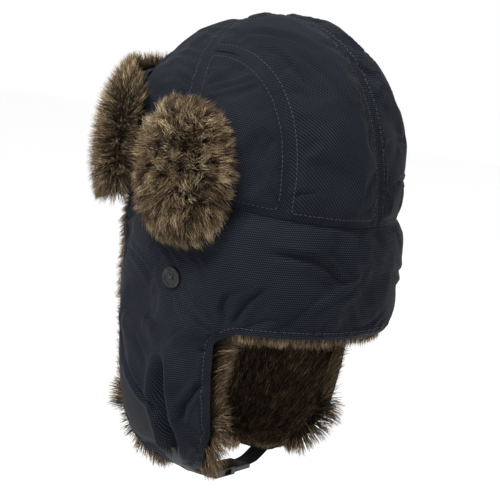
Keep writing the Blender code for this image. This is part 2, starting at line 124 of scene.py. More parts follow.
BUTTON_THETA = radians(87)
BUTTON_Z = -0.0611
BUTTON_HOLD = 0.0110  # the cloth lies flat this far round each button
STRAP_Y = -0.0150
STRAP_Z = -0.2195


def ring_radius(theta):
    side = np.abs(np.sin(theta)) / HALF_WIDTH
    front = np.abs(np.cos(theta)) / HALF_LENGTH
    return (side**PLAN_POWER + front**PLAN_POWER) ** (-1 / PLAN_POWER)


def seam_z(theta):
    return np.cos(theta) * ring_radius(theta) * tan(BAND_TILT)


def crown_base(theta, rise):
    """Points on the crown; rise runs from 0 at the band seam to pi/2 at the top."""
    out = ring_radius(theta) * np.maximum(np.cos(rise), 0.0) ** (2 / CROWN_POWER)
    up = np.sin(rise) ** (2 / CROWN_POWER)
    fall = FRONT_FALL * (np.maximum(out * np.cos(theta), 0.0) / HALF_LENGTH) ** 1.2 * up**4
    z = seam_z(theta) * (1 - up) + CROWN_HEIGHT * up - fall
    return np.stack((out * np.sin(theta), -out * np.cos(theta), z), -1)


def skirt_base(theta, z):
    """Points on the band and the ear flaps, which close in under the chin."""
    depth = np.clip((SKIRT_START - z) / SKIRT_DEPTH, 0.0, 0.9985)
    narrow = (1 - depth**SKIRT_POWER) ** (1 / SKIRT_POWER)
    radius = ring_radius(theta)
    x = radius * np.sin(theta) * narrow
    y = -radius * np.cos(theta) * (1 - 0.06 * depth)
    return np.stack((x, y, z + 0 * x), -1)


def outside(theta, z):
    """Points on the hat's outside at height z, on the crown or below the seam."""
    theta, z = np.broadcast_arrays(np.asarray(theta, float), np.asarray(z, float))
    up = np.clip((z - seam_z(theta)) / (CROWN_HEIGHT - seam_z(theta)), 0.0, 1.0)
    rise = np.arcsin(np.minimum(up ** (CROWN_POWER / 2), 1.0))
    on_crown = (z > seam_z(theta))[..., None]
    return np.where(on_crown, crown_base(theta, rise), skirt_base(theta, z))


def plan_reach(x):
    """How far the plan reaches to the front and back at x, both as shares of their halves."""
    return (1 - np.abs(x) ** PLAN_POWER) ** (1 / PLAN_POWER)


def plan_share(x, y):
    """How near a place in the plan is to its rim, from 0 in the middle to 1."""
    return (np.abs(x) ** PLAN_POWER + np.abs(y) ** PLAN_POWER) ** (1 / PLAN_POWER)


def back_half_width(up):
    return BACK_AT_BAND + (BACK_AT_TOP - BACK_AT_BAND) * up


def side_front(rise):
    """The angle of the cross seam, where each side panel begins, at this rise."""
    forward = cos(CROSS_TURN) ** PLAN_POWER
    out = np.cos(rise) ** (2 / CROWN_POWER)
    across = np.maximum(out**PLAN_POWER - forward, 0) / (1 - forward)
    ahead = (forward * (1 - across)) ** (1 / PLAN_POWER)
    return np.arctan2(across ** (1 / PLAN_POWER) * HALF_WIDTH, ahead * HALF_LENGTH)


def side_edge(rise):
    """The angle at which each side panel meets the back panel at this rise."""
    edge = back_half_width(np.sin(rise) ** (2 / CROWN_POWER))
    low, high = side_front(rise), np.full_like(rise, pi)
    for _ in range(40):
        middle = (low + high) / 2
        wide = crown_base(middle, rise)[..., 0] > edge
        low, high = np.where(wide, middle, low), np.where(wide, high, middle)
    return low


def side_tip():
    """The rise at which each side panel narrows to its tip, found in fine steps."""
    rises = np.linspace(0.5, 1.5, 4001)
    x = crown_base(side_front(rises), rises)[:, 0]
    return rises[np.argmax(x < back_half_width(np.sin(rises) ** (2 / CROWN_POWER)))]


def on_crown(x, y):
    """The crown's points above x and y, given as shares of the half width and half length."""
    rise = np.arccos(np.minimum(plan_share(x, y), 1.0) ** (CROWN_POWER / 2))
    return crown_base(np.arctan2(x * HALF_WIDTH, -y * HALF_LENGTH), rise)


def front_base(across, turn):
    """Points on the front panel: across from -1 to 1, turn from 0 at the brow."""
    return on_crown(across, -np.cos(turn) * plan_reach(across))


def back_base(across, turn):
    """Points on the back panels: across from -1 to 1, turn up to pi at the band."""
    half = np.full(np.broadcast(across, turn).shape, BACK_AT_BAND)
    for _ in range(12):
        x = half / HALF_WIDTH
        out = np.minimum(plan_share(x, np.cos(turn) * plan_reach(x)), 1.0)
        half = back_half_width((1 - out**CROWN_POWER) ** (1 / CROWN_POWER))
    x = across * half / HALF_WIDTH
    return on_crown(x, -np.cos(turn) * plan_reach(x))


def below_seam(thetas, low, shares, lift=0.0):
    """A grid on the band: at each angle, shares of the way from height low to the crown seam."""
    heights = low + lift + (seam_z(thetas) - low)[:, None] * shares[None, :]
    return skirt_base(thetas[:, None], heights)


def flap_bottom(across):
    front = FLAP_FRONT_LIFT * (np.maximum(FLAP_CENTRE - across, 0) / FLAP_CENTRE) ** 3
    rear = FLAP_REAR_LIFT * (np.maximum(across - FLAP_CENTRE, 0) / (1 - FLAP_CENTRE)) ** 3
    return FLAP_TIP_Z + front + rear


def flap_rear(z):
    """The angle of the flap's rear edge, which flares into the neck edge at its top."""
    low = np.clip((FOLD_Z - z) / 0.09, 0.0, 1.0)
    corner = 1 - np.clip((NECK_Z - z) / CORNER_DEPTH, 0.0, 1.0)
    return FLAP_REAR + (FLAP_REAR_LOW - FLAP_REAR) * low + CORNER_FLARE * corner**2.2


def flap_base(across, share):
    """Points on the left ear flap: across from face to nape, share from its top to its tip."""
    z = NECK_Z + (flap_bottom(across) - NECK_Z) * share
    return skirt_base(FRONT_EDGE + (flap_rear(z) - FRONT_EDGE) * across, z)


def mirrored(grid):
    """A grid's mirror image, with its columns still running round the hat the same way."""
    return (grid * (-1, 1, 1))[::-1]


# --- helpers for points and meshes --------------------------------------------------------------------


def unit(vectors):
    return vectors / np.maximum(np.linalg.norm(vectors, axis=-1, keepdims=True), 1e-12)


def smooth(share):
    share = np.clip(share, 0.0, 1.0)
    return share * share * (3 - 2 * share)


def smooth_line(points, count=60):
    """A Catmull-Rom curve through the points."""
    points = np.asarray(points, float)
    ends = np.vstack((2 * points[0] - points[1], points, 2 * points[-1] - points[-2]))
    spans = len(points) - 1
    at = np.linspace(0, spans - 1e-9, count)
    i = at.astype(int)
    t = (at - i)[:, None]
    a, b, c, d = ends[i], ends[i + 1], ends[i + 2], ends[i + 3]
    return 0.5 * (
        2 * b + (c - a) * t + (2 * a - 5 * b + 4 * c - d) * t**2 + (3 * b - a - 3 * c + d) * t**3
    )


def nearest(points, line):
    """Each point's distance to a line of points, and how far along it the nearest one is."""
    best = np.full(len(points), 1e9)
    share = np.zeros(len(points))
    starts, steps = line[:-1], np.diff(line, axis=0)
    squares = np.maximum((steps**2).sum(1), 1e-14)
    for k, (start, step) in enumerate(zip(starts, steps)):
        t = np.clip((points - start) @ step / squares[k], 0, 1)
        far = np.linalg.norm(points - start - t[:, None] * step, axis=1)
        closer = far < best
        best[closer] = far[closer]
        share[closer] = (k + t[closer]) / len(steps)
    return best, share


def quad_normals(points, quads):
    """Smooth normals at the points of a mesh of quads."""
    quads = np.asarray(quads)
    a, b, c, d = (points[quads[:, k]] for k in range(4))
    faces = np.cross(c - a, d - b)
    normals = np.zeros_like(points)
    for k in range(4):
        np.add.at(normals, quads[:, k], faces)
    return unit(normals)


def grid_quads(columns, rows):
    """The quads of a grid of points held column by column."""
    i, k = np.meshgrid(np.arange(columns - 1), np.arange(rows - 1), indexing="ij")
    corner = (i * rows + k).ravel()
    return np.stack((corner, corner + rows, corner + rows + 1, corner + 1), 1)


def place_grid(place, us, vs):
    u, v = np.meshgrid(us, vs, indexing="ij")
    return place(u, v)


def mesh_object(name, points, faces, looks, uv=None, shade=None):
    """An object from points and faces; uv is given per point, and shade is each face's material."""
    mesh = bpy.data.meshes.new(name)
    mesh.vertices.add(len(points))
    mesh.vertices.foreach_set("co", np.asarray(points, np.float32).ravel())
    sizes = np.concatenate([np.full(len(f), f.shape[1]) for f in faces])
    corners = np.concatenate([f.ravel() for f in faces]).astype(np.int32)
    mesh.loops.add(len(corners))
    mesh.loops.foreach_set("vertex_index", corners)
    mesh.polygons.add(len(sizes))
    mesh.polygons.foreach_set("loop_start", np.concatenate(([0], np.cumsum(sizes)[:-1])).astype(np.int32))
    for look in looks:
        mesh.materials.append(look)
    if shade is not None:
        mesh.polygons.foreach_set("material_index", shade.astype(np.int32))
    mesh.update(calc_edges=True)
    if uv is not None:
        layer = mesh.uv_layers.new(name="weave")
        layer.data.foreach_set("uv", uv[corners].astype(np.float32).ravel())
    mesh.validate()
    mesh.shade_smooth()
    obj = bpy.data.objects.new(name, mesh)
    bpy.context.scene.collection.objects.link(obj)
    return obj


def rim_edges(quads):
    """The edges that only one quad has, each in its quad's direction."""
    seen = {}
    for quad in quads:
        for a, b in zip(quad, np.roll(quad, -1)):
            key = (min(a, b), max(a, b))
            seen[key] = None if key in seen else (a, b)
    return np.array([edge for edge in seen.values() if edge is not None])


def layer_faces(quads, count):
    """The faces of a closed layer: its outer quads, the same quads inside, and its rim."""
    rim = rim_edges(quads)
    sides = np.stack((rim[:, 1], rim[:, 0], rim[:, 0] + count, rim[:, 1] + count), 1)
    return [quads, quads[:, ::-1] + count, sides]


def cloth_piece(name, points, normals, quads, thickness, uv, look):
    """A closed sheet of padded cloth under its outer points, with smooth outer normals."""
    thickness = np.broadcast_to(thickness, len(points))
    used, local = np.unique(quads, return_inverse=True)
    quads = local.reshape(-1, 4)
    points, normals, uv = points[used], normals[used], uv[used]
    inner = points - normals * thickness[used, None]
    faces = layer_faces(quads, len(points))
    obj = mesh_object(name, np.vstack((points, inner)), faces, [look], np.vstack((uv, uv)))
    mesh = obj.data
    corner_normals = np.vstack((normals, -normals))
    split = np.zeros((len(mesh.loops), 3), np.float32)
    soft = 8 * len(quads)
    indices = np.zeros(len(mesh.loops), np.int32)
    mesh.loops.foreach_get("vertex_index", indices)
    split[:soft] = corner_normals[indices[:soft]]
    mesh.normals_split_custom_set(split)
    return obj


# --- materials ----------------------------------------------------------------------------------


def linear(*channels):
    """A colour from its 8-bit display values."""
    values = [c / 255 for c in channels]
    return tuple(v / 12.92 if v <= 0.04045 else ((v + 0.055) / 1.055) ** 2.4 for v in values)


class Nodes:
    """Builds one material's node tree."""

    def __init__(self, name, roughness, **constants):
        self.material = bpy.data.materials.new(name)
        self.material.use_nodes = True
        self.tree = self.material.node_tree
        self.shader = self.tree.nodes["Principled BSDF"]
        self.shader.inputs["Roughness"].default_value = roughness
        for socket, value in constants.items():
            self.shader.inputs[socket.replace("_", " ")].default_value = value

    def node(self, kind, **values):
        made = self.tree.nodes.new(kind)
        for key, value in values.items():
            setattr(made, key, value)
        return made

    def link(self, source, target):
        self.tree.links.new(source, target)

    def math(self, operation, a, b=0.0, c=0.0):
        made = self.node("ShaderNodeMath", operation=operation)
        for socket, value in zip(made.inputs, (a, b, c)):
            if isinstance(value, (int, float)):
                socket.default_value = value
            else:
                self.link(value, socket)
        return made.outputs[0]

    def uv(self):
        source = self.node("ShaderNodeUVMap", uv_map="weave")
        split = self.node("ShaderNodeSeparateXYZ")
        self.link(source.outputs[0], split.inputs[0])
        return split.outputs[0], split.outputs[1]

    def noise(self, scale, detail):
        made = self.node("ShaderNodeTexNoise")
        made.inputs["Scale"].default_value = scale
        made.inputs["Detail"].default_value = detail
        self.link(self.node("ShaderNodeTexCoord").outputs["Object"], made.inputs["Vector"])
        return made.outputs[0]

    def mix(self, share, dark, light):
        made = self.node("ShaderNodeMix", data_type="RGBA")
        self.link(share, made.inputs["Factor"])
        for socket, value in ((made.inputs[6], dark), (made.inputs[7], light)):
            if isinstance(value, tuple):
                socket.default_value = (*value, 1)
            else:
                self.link(value, socket)
        return made.outputs[2]

    def colour(self, output):
        self.link(output, self.shader.inputs["Base Color"])

    def roughness(self, output):
        self.link(output, self.shader.inputs["Roughness"])

    def bump(self, height, distance, strength=1.0):
        made = self.node("ShaderNodeBump")
        made.inputs["Distance"].default_value = distance
        made.inputs["Strength"].default_value = strength
        self.link(height, made.inputs["Height"])
        self.link(made.outputs[0], self.shader.inputs["Normal"])


WEAVE_ACROSS = 1.45 * MM
WEAVE_ALONG = 1.50 * MM
STAGGER = 0.5  # how far each row of the weave is shifted against the next


def woven_height(nodes, across, along):
    """Rows of short floats, each row shifted against the next, from 0 between threads to 1."""
    u, v = nodes.uv()
    row = nodes.math("DIVIDE", v, along)
    shift = nodes.math("MULTIPLY", nodes.math("MODULO", nodes.math("FLOOR", row), 2.0), STAGGER)
    column = nodes.math("ADD", nodes.math("DIVIDE", u, across), nodes.math("ABSOLUTE", shift))
    over = nodes.math("SINE", nodes.math("MULTIPLY", nodes.math("FRACT", column), pi))
    up = nodes.math("SINE", nodes.math("MULTIPLY", nodes.math("FRACT", row), pi))
    return nodes.math("MULTIPLY", over, up)


def shell_fabric():
    """Navy nylon with a small staggered check: navy floats, with near-black painted shade in the gaps between
    them.
    """
    nodes = Nodes("shell_fabric", 0.55, Sheen_Weight=0.01, Sheen_Roughness=0.45, Specular_IOR_Level=0.03)
    height = woven_height(nodes, WEAVE_ACROSS, WEAVE_ALONG)
    float_share = nodes.math("POWER", height, 2.0)
    patches = nodes.noise(38.0, 4.0)
    # ground is near-black painted shade in the gaps between the floats; thread is the nylon's own navy,
    # varied in patches
    ground = nodes.mix(patches, linear(2, 3, 6), linear(4, 6, 10))
    thread = nodes.mix(patches, linear(34, 37, 44), linear(50, 54, 63))
    nodes.colour(nodes.mix(float_share, ground, thread))
    slubs = nodes.noise(900.0, 2.0)
    nodes.roughness(nodes.math("MULTIPLY_ADD", slubs, 0.25, 0.45))
    nodes.bump(nodes.math("ADD", height, nodes.math("MULTIPLY", slubs, 0.3)), 0.35 * MM, 0.8)
    return nodes.material


def lining_fabric():
    nodes = Nodes("lining", 0.45, Sheen_Weight=0.2)
    quilt = nodes.noise(160.0, 2.0)
    nodes.colour(nodes.mix(quilt, linear(16, 18, 24), linear(30, 33, 42)))
    nodes.roughness(nodes.math("MULTIPLY_ADD", quilt, 0.2, 0.35))
    nodes.bump(nodes.noise(700.0, 3.0), 0.3 * MM, 0.6)
    return nodes.material


def mottled(name, roughness, scale, detail, dark, light, depth, **constants):
    """Wadding, thread or a knitted ground: two mingled colours, raised where it's pale."""
    nodes = Nodes(name, roughness, **constants)
    grain = nodes.noise(scale, detail)
    nodes.colour(nodes.mix(grain, linear(*dark), linear(*light)))
    nodes.bump(grain, depth)
    return nodes.material


def ribbed(name, dark, light, pitch, roughness):
    """Elastic and hook-and-loop tape, in fine ribs."""
    nodes = Nodes(name, roughness)
    place = nodes.node("ShaderNodeSeparateXYZ")
    nodes.link(nodes.node("ShaderNodeTexCoord").outputs["Object"], place.inputs[0])
    rib = nodes.math("SINE", nodes.math("MULTIPLY", place.outputs[2], 2 * pi / pitch))
    share = nodes.math("MULTIPLY_ADD", rib, 0.5, 0.5)
    # Darker in the rib valleys: painted shade, over the tape's own black
    nodes.colour(nodes.mix(share, dark, light))
    nodes.bump(share, 0.3 * MM)
    return nodes.material


def webbing():
    """Black webbing in a close twill."""
    nodes = Nodes("webbing", 0.6, Sheen_Weight=0.02, Specular_IOR_Level=0.15)
    height = woven_height(nodes, 1.2 * MM, 0.8 * MM)
    # Darker between the threads: painted shade in the twill's gaps, over the webbing's own black
    nodes.colour(nodes.mix(height, linear(5, 5, 6), linear(24, 24, 27)))
    nodes.bump(height, 0.3 * MM)
    return nodes.material


def moulded(name, dark, light, roughness, coat):
    """Black plastic with faint scuffs."""
    nodes = Nodes(name, roughness, Coat_Weight=coat, Coat_Roughness=0.08, Specular_IOR_Level=0.3)
    scuffs = nodes.noise(260.0, 6.0)
    nodes.colour(nodes.mix(scuffs, dark, light))
    nodes.roughness(nodes.math("MULTIPLY_ADD", scuffs, 0.22, roughness - 0.1))
    nodes.bump(nodes.noise(1800.0, 2.0), 0.04 * MM, 0.5)
    return nodes.material


def fur_look(index, tone):
    plain = {"Sheen_Weight": 0.02, "Specular_IOR_Level": 0.12, "Base_Color": (*linear(*tone), 1)}
    return Nodes(f"fur_{index}", 0.6, **plain).material


# The fur's tones, from the dark roots to the pale tips
FUR_TONES = (
    (18, 11, 5),
    (34, 24, 14),
    (57, 44, 29),
    (87, 71, 50),
    (125, 107, 82),
    (168, 150, 121),
)
SHELL_LOOK = shell_fabric()
THREAD_LOOK = mottled("thread", 0.6, 2600.0, 2.0, (6, 7, 10), (22, 25, 32), 0.1 * MM, Sheen_Weight=0.03)
WEBBING_LOOK = webbing()
FUR_LOOKS = [fur_look(index, tone) for index, tone in enumerate(FUR_TONES)]
# The knitted back that the pile stands on, seen only between the fibres
FUR_GROUND = mottled("fur_ground", 0.9, 240.0, 4.0, (22, 16, 11), (58, 46, 34), 1.2 * MM)
CAD_LOOKS = {
    "shell_fabric": SHELL_LOOK,
    "lining": lining_fabric(),
    "wadding": mottled("wadding", 0.95, 420.0, 5.0, (190, 190, 186), (226, 226, 222), 0.8 * MM),
    "elastic": ribbed("elastic", linear(10, 10, 12), linear(40, 40, 44), 1.1 * MM, 0.8),
    "hook_and_loop": ribbed("hook_and_loop", linear(8, 8, 10), linear(30, 32, 38), 0.9 * MM, 0.9),
    "buckle": moulded("buckle", linear(8, 8, 9), linear(20, 20, 22), 0.38, 0.05),
    "button": moulded("button", linear(2, 2, 3), linear(8, 8, 9), 0.22, 0.15),
    "thread": THREAD_LOOK,
    "fur": FUR_GROUND,
    "webbing": WEBBING_LOOK,
}


def dress_cad_nodes():
    for row in frame["record"]["subparts"]:
        node = frame["nodes"][row["node"]]
        node.data.materials.clear()
        node.data.materials.append(CAD_LOOKS[row["material_slot"]])


dress_cad_nodes()

# --- cloth --------------------------------------------------------------------------------------

SEAM_DROP = 3.0 * MM
SEAM_REACH = 9.0 * MM
PUFF = 1.6 * MM
STITCH_IN = 5.2 * MM
STITCH_GROOVE = 0.9 * MM
STITCH_REACH = 1.2 * MM
HEM_ROUND = 3.5 * MM
HEM_DROP = 2.0 * MM
PIN_REACH = 2.2 * MM
STITCH_HOLD = 0.6
CLOTH_FRAMES = 20
CLOTH_SETTINGS = {
    "quality": 4,
    "mass": 0.2,
    "tension_stiffness": 20,
    "compression_stiffness": 20,
    "shear_stiffness": 8,
    "bending_stiffness": 0.4,
    "vertex_group_mass": "held",
    "use_pressure": True,
}
# The inner pressure, the growth that wrinkles the cloth, and the farthest that a point may move
PANEL_SWELL = (2.5, 0.035, 3.0 * MM)
SKIRT_SWELL = (1.6, 0.04, 3.5 * MM)


def relax(name, points, quads, held, pressure, growth, cap):
    """Lets cloth swell and wrinkle by simulation, with its held points fixed."""
    mesh = bpy.data.meshes.new(name)
    mesh.from_pydata(points.tolist(), [], quads.tolist())
    obj = bpy.data.objects.new(name, mesh)
    bpy.context.scene.collection.objects.link(obj)
    group = obj.vertex_groups.new(name="held")
    for level in np.unique(held):
        if level > 0:
            group.add(np.flatnonzero(held == level).tolist(), float(level), "REPLACE")
    modifier = obj.modifiers.new("cloth", "CLOTH")
    settings = modifier.settings
    for key, value in CLOTH_SETTINGS.items():
        setattr(settings, key, value)
    settings.uniform_pressure_force = pressure
    settings.shrink_min = -growth
    settings.effector_weights.gravity = 0
    modifier.collision_settings.use_collision = False
    modifier.point_cache.frame_start = 1
    modifier.point_cache.frame_end = CLOTH_FRAMES
    scene = bpy.context.scene
    for frame_number in range(1, CLOTH_FRAMES + 1):
        scene.frame_set(frame_number)
    evaluated = obj.evaluated_get(bpy.context.evaluated_depsgraph_get())
    moved = np.zeros(len(points) * 3, np.float32)
    evaluated.data.vertices.foreach_get("co", moved)
    scene.frame_set(1)
    bpy.data.objects.remove(obj)
    step = moved.reshape(-1, 3).astype(float) - points
    far = np.linalg.norm(step, axis=1, keepdims=True)
    return points + step * np.minimum(1.0, cap / np.maximum(far, 1e-9))


RIDGE = 0.45  # how high a fold's sides stand, as a share of its depth


def crease(points, route, depth, width):
    """How far a fold along the route pulls each point in; its two sides stand up a little."""
    line = smooth_line(outside(np.radians([p[0] for p in route]), np.array([p[1] for p in route]) * MM))
    far, share = nearest(points, line)
    ends = smooth(share / 0.22) * smooth((1 - share) / 0.22)
    valley = np.exp(-((far / width) ** 2))
    banks = np.exp(-(((far - 2.0 * width) / (1.1 * width)) ** 2))
    return ends * depth * (RIDGE * banks - valley)


# Each fold: its route as (degrees round the hat, height in mm), its depth and its width
CROWN_FOLDS = [
    ([(93, 71), (104, 78), (118, 85)], 1.4, 2.0),
    ([(95, 114), (123, 113), (140, 109), (151, 99)], 2.2, 2.6),
    ([(109, 109), (128, 100), (138, 89), (145, 78)], 2.0, 2.2),
    ([(119, 96), (125, 85), (128, 76)], 1.2, 1.7),
    ([(132, 104), (146, 94), (156, 80), (160, 66)], 1.3, 2.2),
    ([(169, 115), (177, 107), (184, 99), (185, 92)], 1.6, 2.4),
    ([(62, 82), (72, 79), (83, 74)], 1.4, 2.2),
    ([(50, 96), (64, 97), (80, 92)], 1.2, 2.4),
    ([(134, 5), (147, 11), (162, 7)], 1.3, 1.7),
    ([(150, 4), (162, 6), (167, 2)], 1.1, 1.5),
    ([(118, 20), (124, 32), (126, 46)], 0.8, 2.2),
    ([(184, 40), (196, 47), (210, 44)], 1.2, 2.4),
    ([(186, 12), (200, 18), (214, 12)], 0.9, 2.2),
    ([(210, 104), (228, 108), (248, 112)], 1.6, 2.4),
    ([(208, 70), (220, 84), (236, 96)], 1.3, 2.4),
    ([(256, 74), (248, 82), (238, 88)], 1.3, 2.2),
    ([(20, 92), (36, 98), (52, 104)], 1.3, 2.4),
    ([(340, 92), (322, 99), (304, 104)], 1.3, 2.4),
    ([(298, 80), (286, 84), (276, 76)], 1.3, 2.4),
]
SKIRT_FOLDS = [
    ([(127, -34), (136, -35), (146, -37), (153, -42), (160, -51), (169, -52)], 3.4, 2.6),
    ([(148, -78), (157, -68), (166, -59), (173, -53)], 1.6, 2.6),
    ([(116, -62), (114, -75), (115, -88)], 2.4, 2.0),
    ([(133, -55), (125, -67), (121, -77), (119, -87)], 2.6, 2.2),
    ([(120, -88), (129, -83), (139, -78)], 1.5, 2.2),
    ([(79, -38), (85, -47), (89, -55)], 1.5, 1.8),
    ([(93, -39), (100, -48), (107, -61)], 1.3, 1.8),
    ([(90, -72), (96, -83), (104, -90), (112, -95)], 1.7, 1.9),
    ([(94, -65), (102, -79), (113, -90)], 1.4, 1.8),
    ([(92, -165), (97, -149), (107, -131)], 3.6, 2.6),
    ([(100, -104), (103, -110), (108, -108)], 1.6, 1.8),
    ([(83, -112), (83, -142), (84, -162), (85, -182), (81, -208)], 10.0, 4.2),
    ([(54, -127), (69, -149), (78, -156), (80, -170)], 3.0, 2.6),
    ([(62, -111), (68, -119), (74, -129)], 1.2, 2.2),
    ([(56, -48), (66, -56), (74, -68)], 1.5, 2.4),
    ([(166, -82), (176, -86), (188, -82)], 1.4, 2.2),
    ([(192, -44), (206, -52), (222, -48)], 1.8, 2.6),
    ([(242, -90), (232, -78), (226, -64)], 1.8, 2.4),
    ([(250, -60), (258, -72), (262, -86)], 1.8, 2.2),
    ([(278, -112), (277, -140), (276, -164), (279, -203)], 9.0, 4.2),
    ([(304, -126), (290, -146), (282, -158)], 2.6, 2.6),
    ([(306, -52), (292, -60), (280, -72)], 1.5, 2.4),
    ([(266, -168), (262, -150), (252, -130)], 2.8, 2.6),
]


def folded(points, normals, folds):
    """The points with every fold pressed into them."""
    shift = np.zeros(len(points))
    for route, depth, width in folds:
        shift += crease(points, route, depth * MM, width * MM)
    return points + normals * shift[:, None]


def arc_uv(points):
    """A flat map of a grid in metres: along each row from the middle column, and up each column."""
    along = np.linalg.norm(np.diff(points, axis=0), axis=2)
    u = np.concatenate((np.zeros((1, points.shape[1])), np.cumsum(along, axis=0)), 0)
    u -= u[points.shape[0] // 2]
    up = np.linalg.norm(np.diff(points, axis=1), axis=2)
    v = np.concatenate((np.zeros((points.shape[0], 1)), np.cumsum(up, axis=1)), 1)
    return np.stack((u, v), -1).reshape(-1, 2)


def seam_lines():
    """The crown's seams: over the top, both sides of the back, its middle, and the band seam."""
    across = np.sin(np.linspace(-1.55, 1.55, 90))
    turns = np.linspace(CROSS_TURN, pi, 70)
    lines = [front_base(across, np.full(90, CROSS_TURN))]
    lines += [back_base(np.full(70, side), turns) for side in (-1.0, 0.0, 1.0)]
    around = np.linspace(0, 2 * pi, 140)
    lines.append(crown_base(around, np.zeros(140)))
    return lines


SEAMS = seam_lines()


def hollow(far):
    """The rise of padded cloth away from a seam: sunk at the seam and full between seams."""
    return -SEAM_DROP + (SEAM_DROP + PUFF) * (1 - np.exp(-((far / SEAM_REACH) ** 1.3)))


def groove(far):
    return -STITCH_GROOVE * np.exp(-(((far - STITCH_IN) / STITCH_REACH) ** 2))


def held_levels(far):
    """Pins at the seam, and a firm hold along the stitching."""
    held = np.zeros(len(far))
    held[np.abs(far - STITCH_IN) < STITCH_REACH] = STITCH_HOLD
    held[far < PIN_REACH] = 1.0
    return held


def contour(points, quads, values, level):
    """The lines on a mesh of quads where the values pass the level."""
    links, spots = {}, {}
    high = values > level
    crossing = np.flatnonzero((high[quads].sum(1) % 4) != 0)
    for quad in quads[crossing]:
        cuts = []
        for a, b in zip(quad, np.roll(quad, -1)):
            if high[a] != high[b]:
                key = (min(a, b), max(a, b))
                t = (level - values[a]) / (values[b] - values[a])
                spots[key] = points[a] + (points[b] - points[a]) * t
                cuts.append(key)
        if len(cuts) == 2:
            links.setdefault(cuts[0], []).append(cuts[1])
            links.setdefault(cuts[1], []).append(cuts[0])
    lines, left = [], set(links)
    starts = [k for k in links if len(links[k]) == 1] + list(links)
    for start in starts:
        if start not in left:
            continue
        line, key = [], start
        while key is not None:
            left.discard(key)
            line.append(spots[key])
            key = next((k for k in links[key] if k in left), None)
        if len(line) > 6:
            lines.append(np.array(line))
    return lines


STITCH_PITCH = 3.4 * MM
STITCH_LENGTH = 2.7 * MM
STITCH_RADIUS = 0.36 * MM


def stitches(name, lines, points, quads):
    """Rows of sewn stitches lying on the cloth along the lines, as one piece."""
    tree = BVHTree.FromPolygons(points.tolist(), quads.tolist())
    verts, faces, corners = [], [], []
    ring = [(cos(a), sin(a)) for a in np.linspace(0, 2 * pi, 6)[:-1]]
    for line in lines:
        steps = np.linalg.norm(np.diff(line, axis=0), axis=1)
        at = np.concatenate(([0], np.cumsum(steps)))
        count = int(at[-1] / STITCH_PITCH)
        for k in range(count):
            ends = [(k + 0.1) * STITCH_PITCH, (k + 0.1) * STITCH_PITCH + STITCH_LENGTH]
            a, b = (np.array([np.interp(e, at, line[:, c]) for c in range(3)]) for e in ends)
            spot, normal, _, _ = tree.find_nearest(Vector((a + b) / 2))
            if spot is None:
                continue
            normal = np.array(normal)
            along = unit(b - a)
            side = unit(np.cross(along, normal))
            middle = np.array(spot) + normal * STITCH_RADIUS * 0.35
            half = np.linalg.norm(b - a) / 2
            base = len(verts)
            verts.append(middle - along * half - normal * STITCH_RADIUS * 0.8)
            for share, size in ((-0.62, 0.8), (0.0, 1.0), (0.62, 0.8)):
                for c, s in ring:
                    offset = side * c * STITCH_RADIUS * size + normal * s * STITCH_RADIUS * size
                    verts.append(middle + along * half * share + offset)
            verts.append(middle + along * half - normal * STITCH_RADIUS * 0.8)
            for m in range(5):
                n = (m + 1) % 5
                corners.append((base, base + 1 + n, base + 1 + m))
                for level in (0, 5):
                    low = base + 1 + level
                    faces.append((low + m, low + n, low + 5 + n, low + 5 + m))
                corners.append((base + 16, base + 11 + m, base + 11 + n))
    obj = mesh_object(name, np.array(verts), [np.array(faces), np.array(corners)], [THREAD_LOOK])
    return obj


def seam_distance(points):
    return np.min([nearest(points, line)[0] for line in SEAMS], axis=0)


PANEL_THICKNESS = 3.2 * MM


def crown_piece(name, node, columns):
    """One sewn and padded panel of the crown, from its grid of base points."""
    shape = columns.shape[:2]
    points = columns.reshape(-1, 3)
    quads = grid_quads(*shape)
    normals = quad_normals(points, quads)
    far = seam_distance(points)
    uv = arc_uv(columns)
    shaped = points + normals * (hollow(far) + groove(far))[:, None]
    shaped = folded(shaped, normals, CROWN_FOLDS)
    shaped = relax(name, shaped, quads, held_levels(far), *PANEL_SWELL)
    final = quad_normals(shaped, quads)
    piece = cloth_piece(name, shaped, final, quads, PANEL_THICKNESS, uv, SHELL_LOOK)
    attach(piece, "hat")
    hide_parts(node)
    lines = contour(shaped, quads, far, STITCH_IN)
    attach(stitches(f"{name}_stitching", lines, shaped, quads), "hat")


def make_crown():
    leans = np.linspace(-pi / 2 + 0.02, pi / 2 - 0.02, 96)
    across = np.sign(leans) * np.abs(np.sin(leans)) ** (2 / CROWN_POWER)
    turns = np.linspace(0, CROSS_TURN, 70)
    crown_piece("front_panel", "crown_front_panel", place_grid(front_base, across, turns))
    back = place_grid(back_base, np.linspace(0, 1, 50), np.linspace(CROSS_TURN, pi, 90))
    rises = side_tip() * (1 - (1 - np.linspace(0, 0.993, 80)) ** 2)
    shares = np.linspace(0, 1, 50)
    fronts = side_front(rises)
    thetas = fronts + (side_edge(rises) - fronts)[None, :] * shares[:, None]
    beside = crown_base(thetas, rises)
    for word, turned in (("left", np.array), ("right", mirrored)):
        for place, grid in (("back", back), ("side", beside)):
            grid = turned(grid)
            crown_piece(f"{place}_panel_{word}", f"crown_{place}_panel_{word}", grid)


# --- band, flaps and brow -----------------------------------------------------------------------

BAND_ROWS = 42
FLAP_COLUMNS = 72
FLAP_ROWS = 60
BACK_COLUMNS = 80
SKIRT_THICKNESS = 3.4 * MM
SKIRT_RADIUS = 0.100  # about the band's own, so that the weave keeps its scale round it


